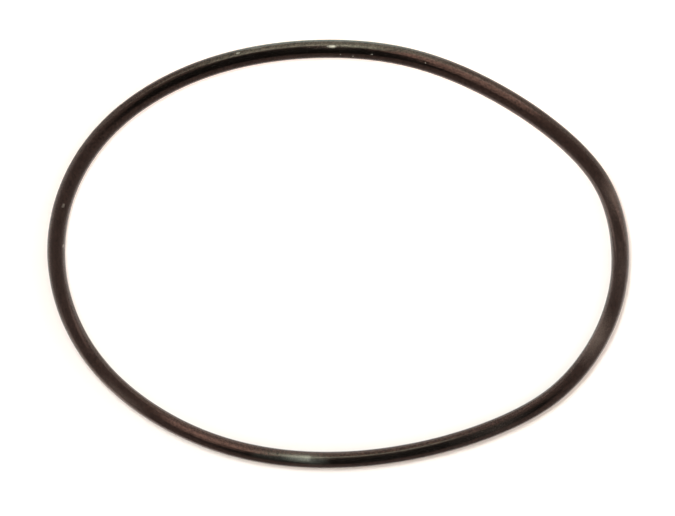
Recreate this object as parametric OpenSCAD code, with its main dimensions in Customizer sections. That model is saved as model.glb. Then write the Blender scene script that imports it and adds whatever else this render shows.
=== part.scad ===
// Rubber O-ring, lying free on a flat surface.
// It is one moulding: a round cord closed into a loop, with the low ridge that the
// mould's parting faces leave round its inside and its outside at mid-height.
// The mould is a true circle. A thin ring doesn't keep it out of its groove: it lies
// a little out of round, which is built here as lobes that stand out of the circle.
// Millimetres, +Z up. The origin is under the middle of the ring's outline, and the
// ring's lowest line is at z = 0.

/* [Ring] */
// Inside diameter of the true circle
inner_d = 82.22; // [50:0.01:150]
// Diameter of the round cord
cord_d = 2.62; // [1.5:0.01:6]

/* [Parting ridge] */
// How far the ridge stands out of the cord
ridge_h = 0.04; // [0.01:0.01:0.1]
// Width of the ridge at its foot
ridge_foot_w = 0.2; // [0.16:0.01:0.4]
// Width of the ridge at its crest
ridge_crest_w = 0.08; // [0.04:0.01:0.14]

/* [Free shape] */
// Height of the two lobes that make the ring oval
oval_lobe_h = 0.49; // [0:0.01:1.5]
// Heading of the first of the two lobes, in degrees from +X
oval_lobe_heading = 143; // [0:1:180]
// Height of the three lobes
three_lobe_h = 0.45; // [0:0.01:0.8]
// Heading of the first of the three lobes
three_lobe_heading = 111; // [0:1:120]
// Height of the four lobes
four_lobe_h = 0.17; // [0:0.01:0.4]
// Heading of the first of the four lobes
four_lobe_heading = 50; // [0:1:90]
// Height of the five lobes
five_lobe_h = 0.15; // [0:0.01:0.3]
// Heading of the first of the five lobes
five_lobe_heading = 26; // [0:1:72]
// Height of the six lobes
six_lobe_h = 0.18; // [0:0.01:0.3]
// Heading of the first of the six lobes
six_lobe_heading = 20; // [0:1:60]
// Height of the seven lobes
seven_lobe_h = 0.05; // [0:0.01:0.15]
// Heading of the first of the seven lobes
seven_lobe_heading = 20; // [0:1:51]
// Height of the eight lobes
eight_lobe_h = 0.04; // [0:0.01:0.1]
// Heading of the first of the eight lobes
eight_lobe_heading = 30; // [0:1:45]
// Height of the nine lobes
nine_lobe_h = 0.04; // [0:0.01:0.1]
// Heading of the first of the nine lobes
nine_lobe_heading = 32; // [0:1:40]
// Height of the ten lobes
ten_lobe_h = 0.03; // [0:0.01:0.1]
// Heading of the first of the ten lobes
ten_lobe_heading = 31; // [0:1:36]

/* [Hidden] */

cord_r = cord_d / 2;
mid_line_r = inner_d / 2 + cord_r;

// Each row is a lobe's count, its height and its heading
lobes = [
  [2, oval_lobe_h, oval_lobe_heading],
  [3, three_lobe_h, three_lobe_heading],
  [4, four_lobe_h, four_lobe_heading],
  [5, five_lobe_h, five_lobe_heading],
  [6, six_lobe_h, six_lobe_heading],
  [7, seven_lobe_h, seven_lobe_heading],
  [8, eight_lobe_h, eight_lobe_heading],
  [9, nine_lobe_h, nine_lobe_heading],
  [10, ten_lobe_h, ten_lobe_heading]
];

// Sections along the ring, a multiple of 4 so that one stands at each side of the outline
sections = 144;
// Steps round each half of the cord's section, an even count so that one corner is lowest
half_steps = 14;

rubber = "#1c1815";

// The sum of a list is its dot product with as many ones
function sum(v) = v * [for (x = v) 1];

function outward(a) = [cos(a), sin(a), 0];
function along(a) = [-sin(a), cos(a), 0];

// The ring's mid-line is given by its reach: how far it extends from its middle in each
// heading. Lobes added to the reach leave the length of the line as it was moulded.
function reach(a) = mid_line_r + sum([for (l = lobes) l[1] * cos(l[0] * (a - l[2]))]);
// How fast the reach grows as the heading turns, in mm for each radian
function reach_growth(a) = -sum([for (l = lobes) l[0] * l[1] * sin(l[0] * (a - l[2]))]);
// The point of the mid-line whose outer side faces the heading
function mid_line(a) = reach(a) * outward(a) + reach_growth(a) * along(a);

// Where the middle of the outline lies, seen from the middle of the true circle
outline_mid = [(reach(0) - reach(180)) / 2, (reach(90) - reach(270)) / 2, 0];

// The cord's section, as outward and upward distances from the mid-line: the crest of
// the outer ridge, the top of the cord, the crest of the inner ridge and the underside
function crest(side) = [for (up = [-1, 1]) side * [cord_r + ridge_h, up * ridge_crest_w / 2]];
function half_cord(start) =
  let (foot = asin(ridge_foot_w / 2 / cord_r))
  [for (i = [0 : half_steps])
    let (a = start + foot + (180 - 2 * foot) * i / half_steps)
    cord_r * [cos(a), sin(a)]];
cord_section = concat(crest(1), half_cord(0), crest(-1), half_cord(180));

// A closed solid that carries one section round the whole mid-line, kept square to it
module swept_ring(section) {
  corners = len(section);
  points = [
    for (i = [0 : sections - 1])
      let (a = 360 * i / sections, middle = mid_line(a))
      for (p = section)
        middle + p[0] * outward(a) + [0, 0, p[1]]
  ];
  function corner(i, j) = (i % sections) * corners + j % corners;
  faces = [
    for (i = [0 : sections - 1], j = [0 : corners - 1])
      each [
        [corner(i, j), corner(i + 1, j + 1), corner(i + 1, j)],
        [corner(i, j), corner(i, j + 1), corner(i + 1, j + 1)]
      ]
  ];
  polyhedron(points, faces);
}

module o_ring() {
  color(rubber)
    translate([0, 0, cord_r] - outline_mid)
      swept_ring(cord_section);
}

o_ring();
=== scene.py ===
# %% [markdown]
# A rubber O-ring on a pale table
#
# The object is one piece of black nitrile rubber: a cord, closed into a ring, that was
# pressed in a two-part mould. This lesson loads its engineering model as a fixed frame,
# sweeps a finer ring along the same line, gives it a moulded rubber finish, and lights
# it as small glossy black things are lit: mostly by what they mirror.

# %% Load the frame
import math

import bpy
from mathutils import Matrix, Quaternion, Vector, noise


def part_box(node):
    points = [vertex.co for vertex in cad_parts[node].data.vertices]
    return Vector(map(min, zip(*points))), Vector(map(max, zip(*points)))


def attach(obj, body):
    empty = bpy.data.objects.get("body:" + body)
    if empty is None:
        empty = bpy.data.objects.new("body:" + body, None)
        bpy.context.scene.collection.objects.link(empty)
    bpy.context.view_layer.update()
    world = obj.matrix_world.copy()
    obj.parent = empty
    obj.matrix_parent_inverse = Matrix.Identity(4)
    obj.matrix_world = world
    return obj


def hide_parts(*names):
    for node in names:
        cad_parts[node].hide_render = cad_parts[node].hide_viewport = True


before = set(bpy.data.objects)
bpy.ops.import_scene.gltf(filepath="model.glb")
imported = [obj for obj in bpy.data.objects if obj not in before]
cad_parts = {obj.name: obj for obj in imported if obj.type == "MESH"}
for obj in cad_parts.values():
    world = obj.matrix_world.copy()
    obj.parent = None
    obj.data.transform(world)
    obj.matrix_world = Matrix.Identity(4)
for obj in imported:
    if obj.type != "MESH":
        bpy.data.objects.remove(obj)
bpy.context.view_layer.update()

MM = 0.001

# %% [markdown]
# The size of the ring comes from the frame. The solid's height is the cord's diameter,
# because the ring lies flat. Its width gives the true circle that the mould had.
#
# A thin ring out of its groove is never quite round. Its line is described by its
# reach, which is how far it extends from its middle in each heading: the mould's radius
# plus a few sets of lobes. This is the support function of the curve. It is handy
# because the line's outer side at that point faces the heading, so a section can be
# placed square to it at once, and because lobes leave the line's length as it was.

# %% The line of the ring
LOW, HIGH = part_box("o_ring")
CORD_R = (HIGH.z - LOW.z) / 2
RIDGE_H = 0.04 * MM
# Each row is a lobe's count, its height and the heading of the first lobe in degrees
LOBES = [
    (2, 0.49 * MM, 143),
    (3, 0.45 * MM, 111),
    (4, 0.17 * MM, 50),
    (5, 0.15 * MM, 26),
    (6, 0.18 * MM, 20),
    (7, 0.05 * MM, 20),
    (8, 0.04 * MM, 30),
    (9, 0.04 * MM, 32),
    (10, 0.03 * MM, 31),
]


def lobe_height(heading):
    return sum(h * math.cos(n * (heading - math.radians(first))) for n, h, first in LOBES)


def lobe_growth(heading):
    return -sum(n * h * math.sin(n * (heading - math.radians(first))) for n, h, first in LOBES)


EAST, NORTH, WEST, SOUTH = (math.radians(a) for a in (0, 90, 180, 270))
SPAN = HIGH.x - LOW.x - 2 * (CORD_R + RIDGE_H)
MID_LINE_R = (SPAN - lobe_height(EAST) - lobe_height(WEST)) / 2
RING_MIDDLE = Vector((
    (lobe_height(WEST) - lobe_height(EAST)) / 2,
    (lobe_height(SOUTH) - lobe_height(NORTH)) / 2,
    CORD_R,
))


def outward(heading):
    return Vector((math.cos(heading), math.sin(heading), 0))


def mid_line(heading):
    out = outward(heading)
    along = Vector((-out.y, out.x, 0))
    return RING_MIDDLE + (MID_LINE_R + lobe_height(heading)) * out + lobe_growth(heading) * along


print("cord %.2f mm, inside diameter %.2f mm" % (2 * CORD_R / MM, 2 * (MID_LINE_R - CORD_R) / MM))

# %% [markdown]
# The cord's section is a circle with two low ridges. They stand where the two halves of
# the mould met, inside and outside at mid-height, and they are what is left of the flash
# after trimming. The ridge gets its own close points, because the steps round the cord
# are too wide to draw it, and its height comes and goes a little along the ring.

# %% The section of the cord
RIDGE_W = 0.20 * MM
RIDGE_STEPS = 6
CORD_STEPS = 30


def section_angles():
    """Angles round the cord, from the outer side upward, close together at the ridges."""
    half_ridge = math.asin(RIDGE_W / 2 / CORD_R)
    arc = math.pi - 2 * half_ridge
    angles = []
    for side in (0, math.pi):
        angles += [side + half_ridge * (2 * i / RIDGE_STEPS - 1) for i in range(RIDGE_STEPS)]
        angles += [side + half_ridge + arc * i / CORD_STEPS for i in range(CORD_STEPS)]
    return angles


ANGLES = section_angles()


def on_cord(heading, angle, lift):
    """A point at that angle round the cord's section, lifted off its round surface."""
    way = math.cos(angle) * outward(heading) + Vector((0, 0, math.sin(angle)))
    return mid_line(heading) + (CORD_R + lift) * way


def ridge_at(angle):
    """From 0 at the ridge's foot to 1 on its crest."""
    across = abs(math.sin(angle)) * CORD_R / (RIDGE_W / 2)
    return (0.5 + 0.5 * math.cos(math.pi * across)) if across < 1 else 0


print(len(ANGLES), "points round the cord")

# %% [markdown]
# The mesh is one closed band of quads: a section at each of many headings, joined to the
# next. A curve object with a round bevel would be quicker, but it can't carry the
# ridge, and here every point can also be moved a few microns in or out. Moulded rubber
# is never quite even, and on a glossy black cord that unevenness is what breaks the
# long highlights up.

# %% Sweep the ring
SECTIONS = 720
WAVE_LENGTH = 7 * MM
WAVE_HEIGHT = 0.008 * MM
# The trimmed ridge keeps this share of its height, more or less by the second number
RIDGE_SHARE, RIDGE_SWING = 0.6, 0.4
# The underside stays even below this sine of the angle round the cord, so the ring lies flat
EVEN_BELOW = -0.5


def unevenness(point):
    return WAVE_HEIGHT * noise.noise(point / WAVE_LENGTH)


def ring_vertices():
    for i in range(SECTIONS):
        heading = 2 * math.pi * i / SECTIONS
        trimmed = RIDGE_SHARE + RIDGE_SWING * noise.noise(mid_line(heading) / WAVE_LENGTH)
        for angle in ANGLES:
            lift = RIDGE_H * trimmed * ridge_at(angle)
            if math.sin(angle) > EVEN_BELOW:
                lift += unevenness(on_cord(heading, angle, 0))
            yield on_cord(heading, angle, lift)


def band_faces(rows, columns):
    for i in range(rows):
        here, after = i * columns, (i + 1) % rows * columns
        for j in range(columns):
            k = (j + 1) % columns
            yield here + j, after + j, after + k, here + k


def make_ring():
    mesh = bpy.data.meshes.new("moulded_ring")
    faces = list(band_faces(SECTIONS, len(ANGLES)))
    mesh.from_pydata(list(ring_vertices()), [], faces)
    mesh.shade_smooth()
    ring = bpy.data.objects.new("moulded_ring", mesh)
    bpy.context.scene.collection.objects.link(ring)
    return ring


ring = make_ring()
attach(ring, "root")
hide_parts("o_ring")
print(len(ring.data.polygons), "faces, box in mm:", [round(v / MM, 2) for v in ring.dimensions])

# %% [markdown]
# Every material is made of nodes, and every colour is written as it looks on a screen.
# Three helpers keep the rest short: one turns such a colour into the linear values that
# shaders take, one adds a node with its settings and inputs, and one starts a material.

# %% Helpers for materials


def linear(hex_colour):
    """An sRGB hex colour as the linear RGBA that shaders take."""
    channels = [int(hex_colour[i : i + 2], 16) / 255 for i in (1, 3, 5)]
    return [c / 12.92 if c <= 0.04045 else ((c + 0.055) / 1.055) ** 2.4 for c in channels] + [1]


def add(tree, kind, settings=None, inputs=None):
    """Adds a node, with attributes from settings. An input is a value, or an output to link."""
    node = tree.nodes.new(kind)
    for name, value in (settings or {}).items():
        setattr(node, name, value)
    for name, value in (inputs or {}).items():
        if isinstance(value, bpy.types.NodeSocket):
            tree.links.new(value, node.inputs[name])
        else:
            node.inputs[name].default_value = value
    return node


def new_material(name):
    material = bpy.data.materials.new(name)
    material.use_nodes = True
    material.node_tree.nodes.clear()
    return material, material.node_tree


# %% [markdown]
# The ring isn't new, and a few specks of dust lie on it. The other marks are painted
# light: brownish patches of painted sheen, one grey-green painted reflection of the window
# on the far side, and a pale painted highlight on the near side. Each is a soft streak.
# It runs from one heading to another along the ring, at an angle round the cord, where 0
# is its outer side and 90 its top. A speck of dust is a streak that ends where it starts.
#
# A streak is straight, so it is kept short. A longer one would leave the round of the ring.

# %% Marks on the rubber, and painted light
# Each row is two headings, an angle, a radius in mm, and the strength at either end
# Painted reflection: a grey-green patch on the far side's upper inner flank stands in for the
# window mirrored there
PAINTED_REFLECTION_GREY = linear("#7d7d72")
PAINTED_REFLECTION_ROWS = [
    (260.5, 266.0, 144, 0.95, 0.12, 0.46),
    (254.0, 266.8, 142, 1.25, 0.03, 0.14),
    (266.8, 271.0, 138, 1.25, 0.14, 0.00),
]
# Painted sheen: brownish patches brighten the rubber where it mirrors more light than the lamps
# give, one of them round the near highlight
PAINTED_SHEEN_BROWN = linear("#463c36")
# Each patch of painted sheen is two streaks, so that it grows from nothing and fades out again
PAINTED_SHEEN_ROWS = [
    (334, 343, 130, 2.2, 0.0, 1.0), (343, 352, 130, 2.2, 1.0, 0.0),
    (353, 2, 84, 1.1, 0.0, 0.3), (2, 12, 78, 1.1, 0.3, 0.0),
    (13, 22, 47, 1.6, 0.0, 0.8), (22, 31, 47, 1.6, 0.8, 0.0),
    (84, 90, 34, 0.6, 0.0, 0.4), (90, 95, 34, 0.6, 0.4, 0.0),
    (208, 217, 78, 1.2, 0.0, 0.6), (217, 226, 78, 1.2, 0.6, 0.0),
    (291, 302, 120, 1.1, 0.0, 0.2), (302, 313, 120, 1.1, 0.2, 0.0),
]
# Painted highlight and dust: the first two rows paint the lamp's highlight on the near side, and
# the rest are specks of dust
DUST_AND_HIGHLIGHT_PALE = linear("#a49d90")
DUST_AND_HIGHLIGHT_ROWS = [
    (88.9, 90.3, 36, 0.20, 0.5, 0.4),
    (89.2, 89.9, 36, 0.30, 1.0, 0.8),
    (106.2, 106.6, 12, 0.22, 0.5, 0.6),
    (102.0, 103.6, 4, 0.17, 0.2, 0.15),
    (88.0, 88.0, 87, 0.15, 0.4, 0.4),
    (85.6, 85.6, 99, 0.17, 0.5, 0.5),
    (81.9, 81.9, 72, 0.16, 0.5, 0.5),
    (69.2, 69.2, 57, 0.15, 0.4, 0.4),
    (163.3, 163.9, 87, 0.30, 0.2, 0.2),
    (174.1, 174.5, 147, 0.30, 0.6, 0.6),
    (238.9, 238.9, 200, 0.20, 0.6, 0.6),
]


def streaks(tree, place, rows):
    """A mask that is brightest along the middle of the streaks and 0 off all of them."""
    mask = 0.0
    for first, last, angle, radius, at_first, at_last in rows:
        start, end = (on_cord(math.radians(a), math.radians(angle), 0) for a in (first, last))
        run = end - start
        offset = add(tree, "ShaderNodeVectorMath", {"operation": "SUBTRACT"}, {
            0: place, 1: start,
        }).outputs[0]
        share = add(tree, "ShaderNodeVectorMath", {"operation": "DOT_PRODUCT"}, {
            0: offset, 1: run / run.length_squared if first != last else run,
        })
        along = add(tree, "ShaderNodeClamp", {}, {"Value": share.outputs["Value"]}).outputs[0]
        nearest = add(tree, "ShaderNodeVectorMath", {"operation": "SCALE"}, {
            0: run, "Scale": along,
        })
        away = add(tree, "ShaderNodeVectorMath", {"operation": "DISTANCE"}, {
            0: offset, 1: nearest.outputs[0],
        })
        strength = add(tree, "ShaderNodeMapRange", {}, {
            "Value": along, "To Min": at_first, "To Max": at_last,
        })
        streak = add(tree, "ShaderNodeMapRange", {"interpolation_type": "SMOOTHSTEP"}, {
            "Value": away.outputs["Value"], "From Min": radius * MM, "From Max": 0,
            "To Min": 0, "To Max": strength.outputs["Result"],
        })
        strongest = add(tree, "ShaderNodeMath", {"operation": "MAXIMUM"}, {
            0: mask, 1: streak.outputs["Result"],
        })
        mask = strongest.outputs[0]
    return mask


# Mixes a colour in by a mask: grain, dust, and painted sheen, reflection and highlight alike
def mix_in_colour(tree, under, colour, mask):
    mixed = add(tree, "ShaderNodeMix", {"data_type": "RGBA"}, {
        "Factor": mask, "A": under, "B": colour,
    })
    return mixed.outputs["Result"]


print(len(PAINTED_REFLECTION_ROWS + PAINTED_SHEEN_ROWS + DUST_AND_HIGHLIGHT_ROWS), "streaks")

# %% [markdown]
# The finish is compression-moulded nitrile rubber. Carbon black makes it almost black,
# with a trace of brown, so nearly all the light that comes off it is mirrored. The
# mould's polish gives a soft gloss. A fine grain mottles it, and a thin bloom of wax dulls
# it here and there.
#
# The grain could be an image, but noise in the object's own millimetres has no seam and
# stays sharp from any distance.

# %% Moulded nitrile rubber
RUBBER_BLACK = linear("#020202")
RUBBER_WORN = linear("#080605")
# A thin film of wax and plasticiser tints what the rubber mirrors
RUBBER_SHEEN = linear("#ffcdbb")
RUBBER_IOR = 1.5
GRAIN = 0.28 * MM
GRAIN_DEPTH = 0.008 * MM
BLOOM_PATCH = 3.0 * MM
SPECK = 0.16 * MM
SPECK_GREY = linear("#8a8078")
SPECK_STRENGTH = 0.04
GLOSS_SMOOTH, GLOSS_DULL = 0.14, 0.24
SHEEN_LOW, SHEEN_HIGH = 0.25, 0.75
# Streaks are patchy: they keep at least this share of their strength
PATCHY_LEAST = 0.55


def moulded_nitrile_rubber():
    material, tree = new_material("moulded_nitrile_rubber")
    place = add(tree, "ShaderNodeTexCoord").outputs["Object"]
    grain = add(tree, "ShaderNodeTexNoise", {}, {
        "Vector": place, "Scale": 1 / GRAIN, "Detail": 3.0, "Roughness": 0.6,
    })
    bloom = add(tree, "ShaderNodeTexNoise", {}, {
        "Vector": place, "Scale": 1 / BLOOM_PATCH, "Detail": 4.0, "Roughness": 0.65,
    })
    speck = add(tree, "ShaderNodeTexNoise", {}, {
        "Vector": place, "Scale": 1 / SPECK, "Detail": 1.0,
    })
    specks = add(tree, "ShaderNodeMapRange", {}, {
        "Value": speck.outputs["Fac"], "From Min": 0.56, "From Max": 0.74,
        "To Min": 0.0, "To Max": SPECK_STRENGTH,
    })
    patchy = add(tree, "ShaderNodeMapRange", {}, {
        "Value": speck.outputs["Fac"], "From Min": 0.3, "From Max": 0.6,
        "To Min": PATCHY_LEAST, "To Max": 1.0,
    })
    painted_reflection = add(tree, "ShaderNodeMath", {"operation": "MULTIPLY"}, {
        0: streaks(tree, place, PAINTED_REFLECTION_ROWS), 1: patchy.outputs["Result"],
    }).outputs[0]
    painted_sheen = add(tree, "ShaderNodeMath", {"operation": "MULTIPLY"}, {
        0: streaks(tree, place, PAINTED_SHEEN_ROWS), 1: patchy.outputs["Result"],
    }).outputs[0]
    colour = mix_in_colour(tree, RUBBER_BLACK, RUBBER_WORN, grain.outputs["Fac"])
    colour = mix_in_colour(tree, colour, SPECK_GREY, specks.outputs["Result"])
    # Painted sheen in brownish patches
    colour = mix_in_colour(tree, colour, PAINTED_SHEEN_BROWN, painted_sheen)
    # Painted reflection of the window on the far side
    colour = mix_in_colour(tree, colour, PAINTED_REFLECTION_GREY, painted_reflection)
    # Specks of dust, and the painted highlight on the near side
    colour = mix_in_colour(tree, colour, DUST_AND_HIGHLIGHT_PALE, streaks(tree, place, DUST_AND_HIGHLIGHT_ROWS))
    gloss = add(tree, "ShaderNodeMapRange", {}, {
        "Value": bloom.outputs["Fac"], "From Min": 0.3, "From Max": 0.7,
        "To Min": GLOSS_SMOOTH, "To Max": GLOSS_DULL,
    })
    sheen = add(tree, "ShaderNodeMapRange", {}, {
        "Value": grain.outputs["Fac"], "From Min": 0.38, "From Max": 0.62,
        "To Min": SHEEN_LOW, "To Max": SHEEN_HIGH,
    })
    bump = add(tree, "ShaderNodeBump", {}, {
        "Strength": 0.6, "Distance": GRAIN_DEPTH, "Height": grain.outputs["Fac"],
    })
    shader = add(tree, "ShaderNodeBsdfPrincipled", {}, {
        "Base Color": colour, "Roughness": gloss.outputs["Result"],
        "IOR": RUBBER_IOR, "Specular IOR Level": sheen.outputs["Result"],
        "Specular Tint": RUBBER_SHEEN, "Normal": bump.outputs["Normal"],
    })
    add(tree, "ShaderNodeOutputMaterial", {}, {"Surface": shader.outputs["BSDF"]})
    return material


ring.data.materials.append(moulded_nitrile_rubber())
print("rubber: grain %.2f mm, gloss %.2f to %.2f" % (GRAIN / MM, GLOSS_SMOOTH, GLOSS_DULL))

# %% [markdown]
# The table is a matt white sheet. The photograph shows it burnt out to pure white, with
# only a peach-coloured trace of shadow next to the cord. More light would burn it out
# too, but it would spoil the black rubber, so the sheet gets a warm glow that the camera
# sees. The glow is weak where the shadow falls, behind the far side of the ring, and it
# grows towards the camera and away from the ring. The cord mirrors an even glow, and on
# the near side it mirrors a brighter pool, more than the burnt-out white can show.

# %% Table
TABLE_SIZE = 6.0
TABLE_WHITE = linear("#dad0c8")
TABLE_GLOW = linear("#fff0e8")
POOL_COLOUR = linear("#d0fff0")
TABLE_ROUGHNESS = 0.30
GLOW_FAR, GLOW_NEAR = 0.0, 0.62
RIM_START, RIM_END = 44 * MM, 72 * MM
RIM_GLOW = 0.9
MIRRORED_GLOW = 0.22
POOL_EDGE, POOL_INSIDE = 38 * MM, 49 * MM
POOL_GLOW = 2.2


def matt_white_sheet():
    material, tree = new_material("matt_white_sheet")
    rays = add(tree, "ShaderNodeLightPath").outputs
    sheet = add(tree, "ShaderNodeBsdfPrincipled", {}, {
        "Base Color": TABLE_WHITE, "Roughness": TABLE_ROUGHNESS,
    })
    place = add(tree, "ShaderNodeTexCoord").outputs["Object"]
    across = add(tree, "ShaderNodeSeparateXYZ", {}, {"Vector": place})
    glow_here = add(tree, "ShaderNodeMapRange", {}, {
        "Value": across.outputs["Y"], "From Min": -MID_LINE_R, "From Max": MID_LINE_R,
        "To Min": GLOW_FAR, "To Max": GLOW_NEAR,
    })
    middle_distance = add(tree, "ShaderNodeVectorMath", {"operation": "LENGTH"}, {0: place})
    rim_here = add(tree, "ShaderNodeMapRange", {"interpolation_type": "SMOOTHSTEP"}, {
        "Value": middle_distance.outputs["Value"], "From Min": RIM_START, "From Max": RIM_END,
        "To Min": 0, "To Max": RIM_GLOW,
    })
    burnt_out = add(tree, "ShaderNodeMath", {"operation": "ADD"}, {
        0: glow_here.outputs["Result"], 1: rim_here.outputs["Result"],
    })
    pool_here = add(tree, "ShaderNodeMapRange", {"interpolation_type": "SMOOTHSTEP"}, {
        "Value": across.outputs["Y"], "From Min": POOL_EDGE, "From Max": POOL_INSIDE,
        "To Min": 0, "To Max": POOL_GLOW,
    })
    mirror_ray = add(tree, "ShaderNodeMath", {"operation": "MAXIMUM"}, {
        0: rays["Is Glossy Ray"], 1: rays["Is Transmission Ray"],
    }).outputs[0]
    seen = add(tree, "ShaderNodeMath", {"operation": "MULTIPLY"}, {
        0: rays["Is Camera Ray"], 1: burnt_out.outputs[0],
    })
    sheet_glow = add(tree, "ShaderNodeMath", {"operation": "MULTIPLY_ADD"}, {
        0: mirror_ray, 1: MIRRORED_GLOW, 2: seen.outputs[0],
    })
    pool_glow = add(tree, "ShaderNodeMath", {"operation": "MULTIPLY"}, {
        0: mirror_ray, 1: pool_here.outputs["Result"],
    })
    both = sheet
    for colour, strength in ((TABLE_GLOW, sheet_glow), (POOL_COLOUR, pool_glow)):
        glow = add(tree, "ShaderNodeEmission", {}, {
            "Color": colour, "Strength": strength.outputs[0],
        })
        both = add(tree, "ShaderNodeAddShader", {}, {
            0: both.outputs[0], 1: glow.outputs["Emission"],
        })
    add(tree, "ShaderNodeOutputMaterial", {}, {"Surface": both.outputs[0]})
    return material


def make_table():
    half = TABLE_SIZE / 2
    corners = [(-half, -half, 0), (half, -half, 0), (half, half, 0), (-half, half, 0)]
    mesh = bpy.data.meshes.new("table")
    mesh.from_pydata(corners, [], [(0, 1, 2, 3)])
    mesh.materials.append(matt_white_sheet())
    table = bpy.data.objects.new("table", mesh)
    bpy.context.scene.collection.objects.link(table)
    return table


make_table()
print("table %.0f m square" % TABLE_SIZE)

# %% [markdown]
# Black rubber shows what stands round it. The camera is on the +Y side. A tall window
# stands behind it, a little towards +X, and draws the pale band along the flank that faces
# it. Lit walls stand low behind the camera, on the +X side and beyond the ring.
#
# An area lamp looks equally bright from anywhere, so its power is worked out from the
# brightness that the rubber mirrors. These lamps stand so low that the table would stay
# dim. A soft lamp closer by lights it and throws the shadow. The rubber doesn't mirror
# that one.

# %% Lamps
DAYLIGHT = linear("#ccfff2")
WALL_COLOUR = linear("#fff2ea")
ROOM_R = 1.6


def way_to(azimuth, elevation):
    """Azimuth 0 is the camera's side of the ring, +Y, and azimuth 90 is the -X side."""
    a, e = math.radians(azimuth), math.radians(elevation)
    return Vector((-math.sin(a) * math.cos(e), math.cos(a) * math.cos(e), math.sin(e)))


def hang(name, kind, way, distance, target, colour):
    """Hangs a lamp of that kind that way from the ring's middle, turned to the target."""
    data = bpy.data.lights.new(name, kind)
    data.color = colour[:3]
    lamp = bpy.data.objects.new(name, data)
    lamp.location = distance * way
    lamp.rotation_euler = (target - lamp.location).to_track_quat("-Z", "Y").to_euler()
    lamp.visible_camera = False
    bpy.context.scene.collection.objects.link(lamp)
    return lamp


def area_lamp(name, azimuth, elevation, width, height, brightness, colour):
    lamp = hang(name, "AREA", way_to(azimuth, elevation), ROOM_R, Vector(), colour)
    lamp.data.shape = "RECTANGLE"
    lamp.data.size, lamp.data.size_y = width, height
    lamp.data.energy = brightness * math.pi * width * height


# Each row is a name, an azimuth, an elevation, a width and a height, a brightness and a colour
AREA_LAMPS = [
    ("window", -11, 12, 0.45, 0.70, 5.3, DAYLIGHT),
    ("low_wall", 15, 5, 1.40, 0.28, 4.9, DAYLIGHT),
    ("pale_wall", -46, 20, 1.30, 1.16, 2.5, WALL_COLOUR),
    ("left_wall", -65, 50, 0.66, 0.66, 1.5, WALL_COLOUR),
    ("far_left_wall", -119, 20, 0.28, 0.80, 1.4, WALL_COLOUR),
    ("far_right_wall", 158, 14, 0.75, 0.55, 1.2, WALL_COLOUR),
]
for row in AREA_LAMPS:
    area_lamp(*row)

SOFT_LAMP_WAY = way_to(8, 43.6)
SOFT_LAMP_DISTANCE = 0.29
SOFT_LAMP_R = 0.04
SOFT_LAMP_POWER = 9.6
SOFT_LAMP_COLOUR = linear("#f0faff")
SOFT_LAMP_CONE = math.radians(40)
SOFT_LAMP_TARGET = Vector((10, -90, 0)) * MM


def soft_lamp():
    """A close lamp that only the table shows. It is aimed past the far side of the ring."""
    lamp = hang(
        "soft_lamp", "SPOT", SOFT_LAMP_WAY, SOFT_LAMP_DISTANCE, SOFT_LAMP_TARGET, SOFT_LAMP_COLOUR
    )
    lamp.data.shadow_soft_size = SOFT_LAMP_R
    lamp.data.energy = SOFT_LAMP_POWER
    lamp.data.spot_size, lamp.data.spot_blend = SOFT_LAMP_CONE, 1.0
    lamp.visible_glossy = False


soft_lamp()

# %% [markdown]
# The rest of the room is the world. It is palest at table height, a little darker above,
# and it has a round dark part overhead that leans towards the camera and the -X side. Past
# the edge of the table the camera itself sees plain white.

# %% Room
HORIZON, WALL = 1.05, 0.66
HORIZON_TOP, WALL_FOOT = 0.08, 0.28
DARK_WAY = way_to(30, 65)
DARK_EDGE, LIGHT_EDGE = math.cos(math.radians(36)), math.cos(math.radians(48))
DARK_LEVEL = 0.06
BACKDROP_WHITE = linear("#ffffff")


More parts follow.
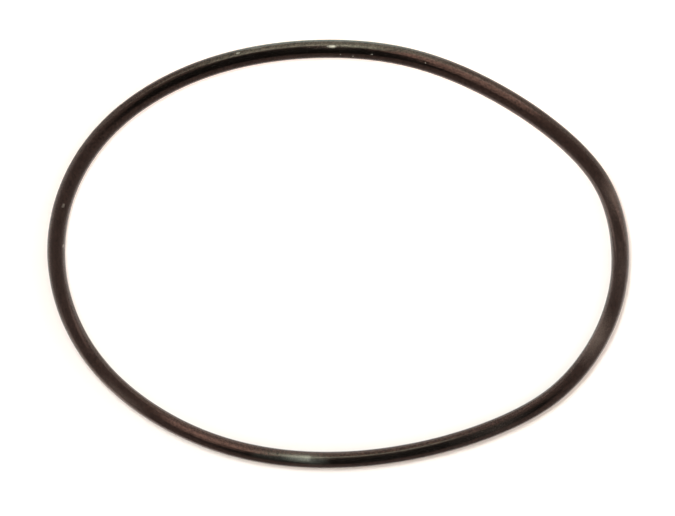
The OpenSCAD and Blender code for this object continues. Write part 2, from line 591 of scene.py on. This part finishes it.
def light_room():
    """Pale walls all round and a dark part overhead, and plain white for the camera."""
    world = bpy.data.worlds.new("room")
    world.use_nodes = True
    tree = world.node_tree
    tree.nodes.clear()
    way = add(tree, "ShaderNodeTexCoord").outputs["Generated"]
    height = add(tree, "ShaderNodeSeparateXYZ", {}, {"Vector": way}).outputs["Z"]
    wall = add(tree, "ShaderNodeMapRange", {"interpolation_type": "SMOOTHSTEP"}, {
        "Value": height, "From Min": HORIZON_TOP, "From Max": WALL_FOOT,
        "To Min": HORIZON, "To Max": WALL,
    })
    nearness = add(tree, "ShaderNodeVectorMath", {"operation": "DOT_PRODUCT"}, {
        0: way, 1: DARK_WAY,
    })
    lit = add(tree, "ShaderNodeMapRange", {"interpolation_type": "SMOOTHSTEP"}, {
        "Value": nearness.outputs["Value"], "From Min": LIGHT_EDGE, "From Max": DARK_EDGE,
        "To Min": 1.0, "To Max": DARK_LEVEL,
    })
    level = add(tree, "ShaderNodeMath", {"operation": "MULTIPLY"}, {
        0: wall.outputs["Result"], 1: lit.outputs["Result"],
    })
    room = add(tree, "ShaderNodeBackground", {}, {
        "Color": WALL_COLOUR, "Strength": level.outputs[0],
    })
    backdrop = add(tree, "ShaderNodeBackground", {}, {"Color": BACKDROP_WHITE, "Strength": 1.0})
    seen = add(tree, "ShaderNodeMixShader", {}, {
        0: add(tree, "ShaderNodeLightPath").outputs["Is Camera Ray"],
        1: room.outputs[0], 2: backdrop.outputs[0],
    })
    add(tree, "ShaderNodeOutputWorld", {}, {"Surface": seen.outputs[0]})
    bpy.context.scene.world = world


light_room()
print("room: brightness %.2f at table height, %.2f above" % (HORIZON, WALL))

# %% [markdown]
# The camera looks down on the ring at 47 degrees, the height at which an almost round
# ring looks as flat as this one does. Two things show on which side it stands. The cord
# looks thickest at the top of the picture, and the flank that mirrors the white table is
# the upper one. So the near side of the ring is at the top: the picture was taken from
# +Y, and it is shown turned by half a turn.

# %% Camera
CAMERA_ELEVATION = math.radians(47)
CAMERA_DISTANCE = 0.50
CAMERA_LENS = 177.98
SENSOR_WIDTH = 36.0
# The middle of the picture lies this far from the middle of the true circle
AIM_SHIFT = Vector((0.125, 1.928, 0)) * MM


def make_camera():
    data = bpy.data.cameras.new("camera")
    data.sensor_width, data.lens = SENSOR_WIDTH, CAMERA_LENS
    data.clip_start, data.clip_end = 0.01, 20
    camera = bpy.data.objects.new("camera", data)
    aim = RING_MIDDLE + AIM_SHIFT
    back = Vector((0, math.cos(CAMERA_ELEVATION), math.sin(CAMERA_ELEVATION)))
    half_turn = Quaternion((0, 0, 1), math.pi)
    camera.location = aim + CAMERA_DISTANCE * back
    camera.rotation_euler = ((-back).to_track_quat("-Z", "Y") @ half_turn).to_euler()
    bpy.context.scene.collection.objects.link(camera)
    bpy.context.scene.camera = camera


make_camera()
bpy.context.scene.view_settings.view_transform = "Standard"
print("camera %.0f mm away" % (CAMERA_DISTANCE / MM))
